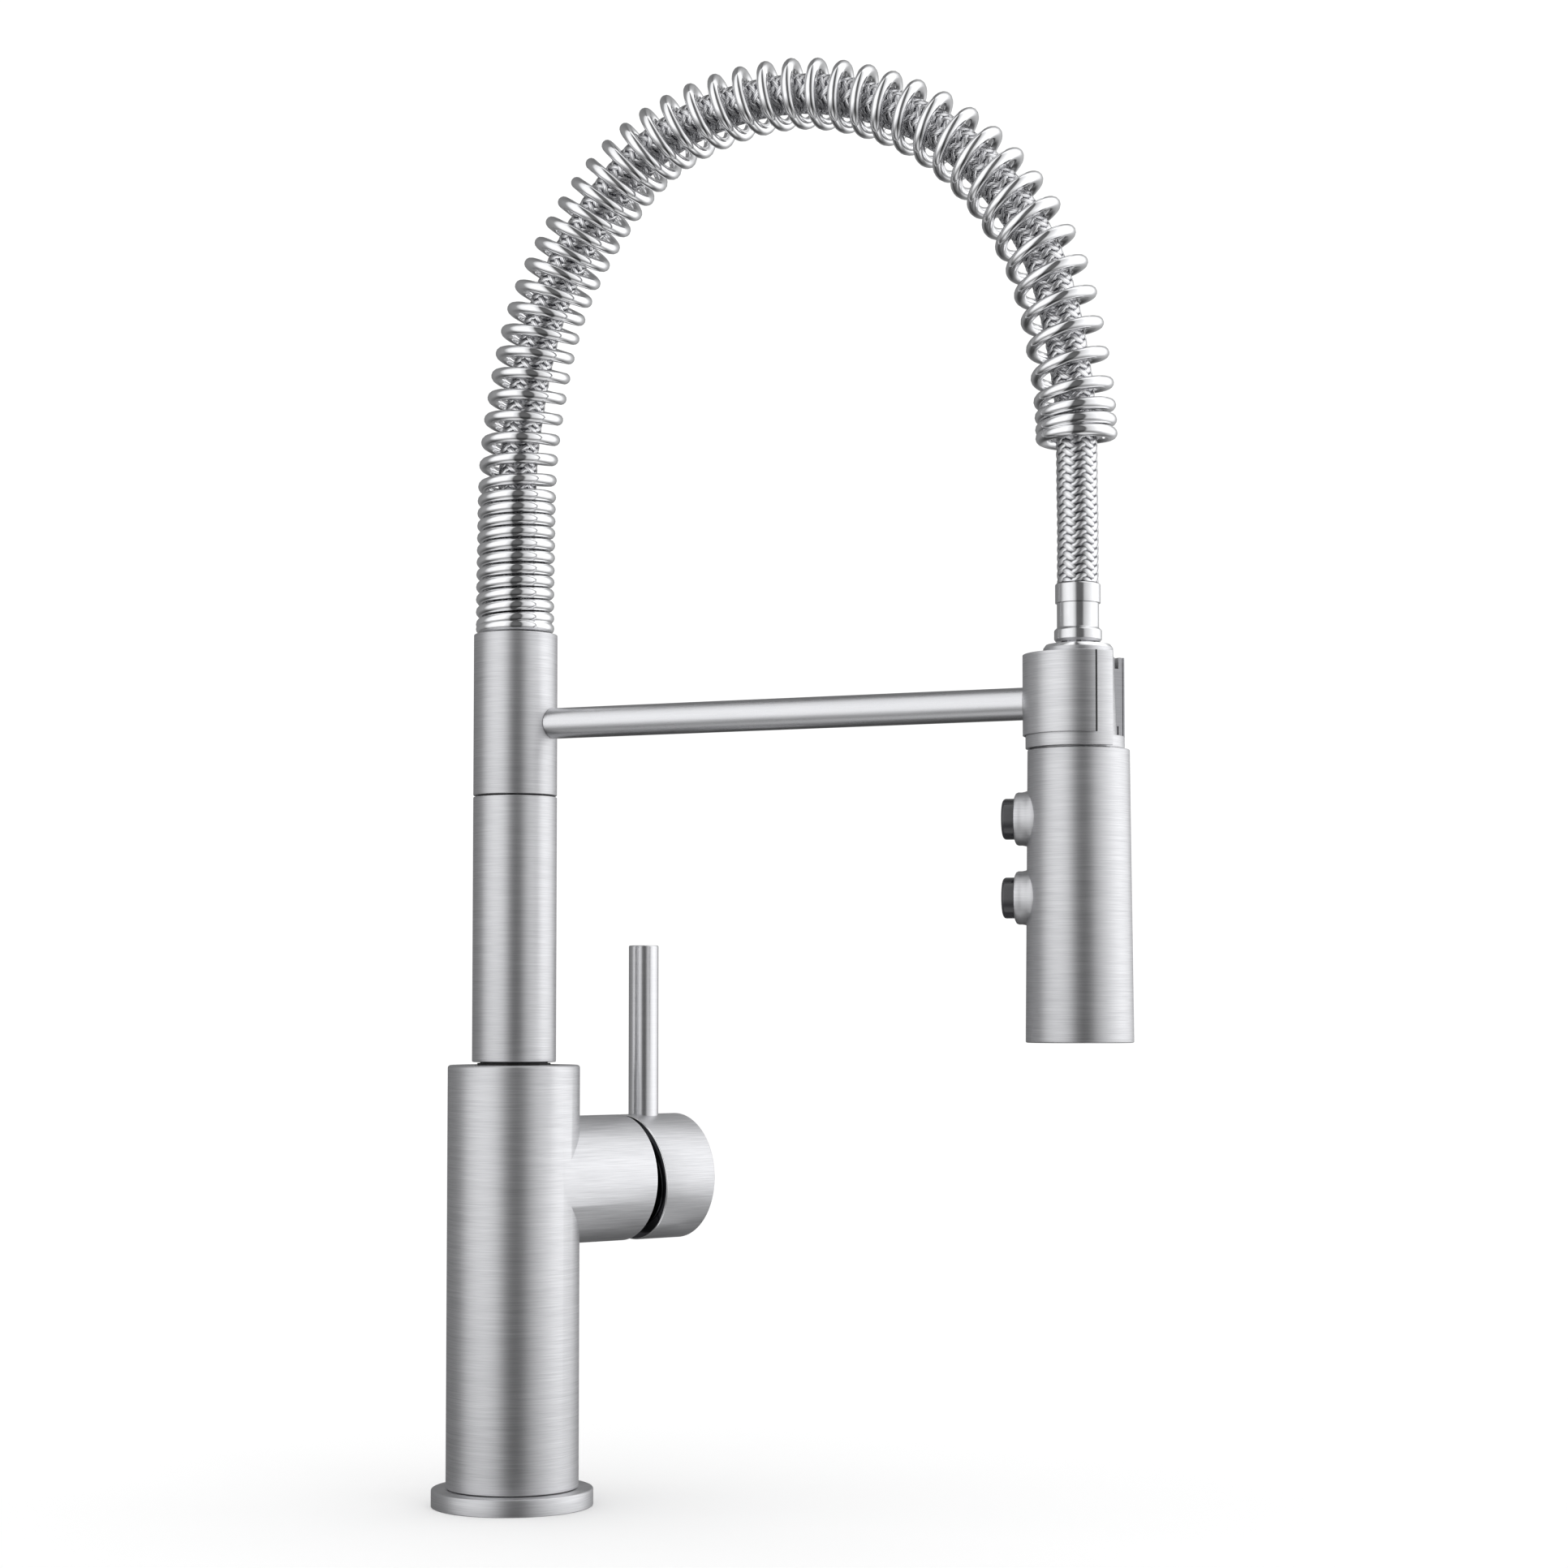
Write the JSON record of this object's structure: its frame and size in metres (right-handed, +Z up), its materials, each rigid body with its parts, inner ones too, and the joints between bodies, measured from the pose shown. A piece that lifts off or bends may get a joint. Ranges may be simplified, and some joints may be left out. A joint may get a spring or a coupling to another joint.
{
  "type": "pull-down kitchen faucet",
  "caption": "Single-hole pull-down kitchen faucet: swivelling column, sprung hose arch, clip holder, two-button spray head and side lever.",
  "frame": {"origin": "centre of the base on the deck", "axes": "+Z up the column; +X from the column to the docked spray head along the support arm"},
  "size_m": [0.2592, 0.1054, 0.508],
  "materials": {
    "brushed_steel": "fine circumferential brushing",
    "polished_steel": "polished",
    "turned_brass": "machined",
    "plain_steel": "plain",
    "steel_braid": "woven flat strands",
    "seal_rubber": "moulded",
    "pale_plastic": "moulded",
    "dark_plastic": "gloss moulded",
    "ceramic": "lapped ceramic"
  },
  "bodies": {
    "base": {"base_flange": "brushed_steel", "base_gasket": "seal_rubber", "inlet_block": "turned_brass", "transfer_tube_hot": "plain_steel", "transfer_tube_cold": "plain_steel", "main_body": "brushed_steel", "swivel_bushing_lower": "pale_plastic", "swivel_bushing_upper": "pale_plastic", "swivel_seal_lower": "seal_rubber", "swivel_seal_upper": "seal_rubber", "swivel_clip": "plain_steel", "cartridge_gasket": "seal_rubber", "cartridge_body": "pale_plastic", "fixed_disc": "ceramic", "cartridge_nut": "turned_brass", "trim_ring": "polished_steel"},
    "stem_carrier": {"stem_carrier": "pale_plastic", "pivot_pin": "plain_steel"},
    "moving_disc": {"moving_disc": "ceramic"},
    "lever": {"lever_stem": "plain_steel", "lever_knob": "brushed_steel", "lever_rod": "brushed_steel", "lever_stud": "plain_steel", "knob_set_screw": "plain_steel"},
    "spout": {"swivel_stem": "turned_brass", "column_tube": "brushed_steel", "column_coupler": "turned_brass", "column_sleeve": "brushed_steel", "support_arm": "brushed_steel", "arm_root_screw": "plain_steel", "arm_tip_screw": "plain_steel", "holder_shell": "brushed_steel", "holder_liner": "brushed_steel", "hose_connector": "turned_brass", "hose_crimp_lower": "plain_steel", "spring_seat": "turned_brass", "spring_coil": "polished_steel", "hose_braid": "steel_braid", "hose_liner": "seal_rubber"},
    "hose_end": {"hose_ferrule": "polished_steel", "hose_end_stem": "turned_brass", "stem_seal_lower": "seal_rubber", "stem_seal_upper": "seal_rubber"},
    "spray_head": {"spray_collar": "brushed_steel", "spray_shell": "brushed_steel", "valve_core": "pale_plastic", "check_valve": "dark_plastic", "flow_seal": "seal_rubber", "spray_diffuser": "dark_plastic", "spray_face": "dark_plastic", "aerator_housing": "pale_plastic", "aerator_screen": "plain_steel", "button_spring_upper": "plain_steel", "button_spring_lower": "plain_steel"},
    "button_upper": {"button_upper": "dark_plastic"},
    "button_lower": {"button_lower": "dark_plastic"}
  },
  "joints": [
    {"name": "spout_swivel", "type": "hinge", "parent": "base", "child": "spout", "pos_m": [0, 0, 0.15], "axis": [0, 0, 1], "continuous": true},
    {"name": "lever_temperature", "type": "hinge", "parent": "base", "child": "stem_carrier", "pos_m": [0, 0, 0.1145], "axis": [0.4384, 0.8988, 0], "range_deg": [-45, 45]},
    {"name": "lever_flow", "type": "hinge", "parent": "stem_carrier", "child": "lever", "pos_m": [0.01052, 0.02157, 0.1145], "axis": [-0.8988, 0.4384, 0], "range_deg": [0, 9]},
    {"name": "disc_slide", "type": "slide", "parent": "stem_carrier", "child": "moving_disc", "axis": [0, 0, 1], "range_m": [0, 0.0018]},
    {"name": "spray_pull", "type": "slide", "parent": "spout", "child": "hose_end", "axis": [0, 0, -1], "range_m": [0, 0.1], "deforming": ["spring_coil", "hose_braid", "hose_liner"]},
    {"name": "spray_turn", "type": "hinge", "parent": "hose_end", "child": "spray_head", "pos_m": [0.2125, 0, 0.28], "axis": [0, 0, 1], "continuous": true},
    {"name": "press_upper_button", "type": "slide", "parent": "spray_head", "child": "button_upper", "axis": [0.979, 0.2036, 0], "range_m": [0, 0.002], "stiffness_N_per_m": 1500, "deforming": ["button_spring_upper"]},
    {"name": "press_lower_button", "type": "slide", "parent": "spray_head", "child": "button_lower", "axis": [0.979, 0.2036, 0], "range_m": [0, 0.002], "stiffness_N_per_m": 1500, "deforming": ["button_spring_lower"]}
  ],
  "couplings": [
    {"joint": "disc_slide", "follows": "lever_flow", "m_per_rad": 0.011}
  ]
}
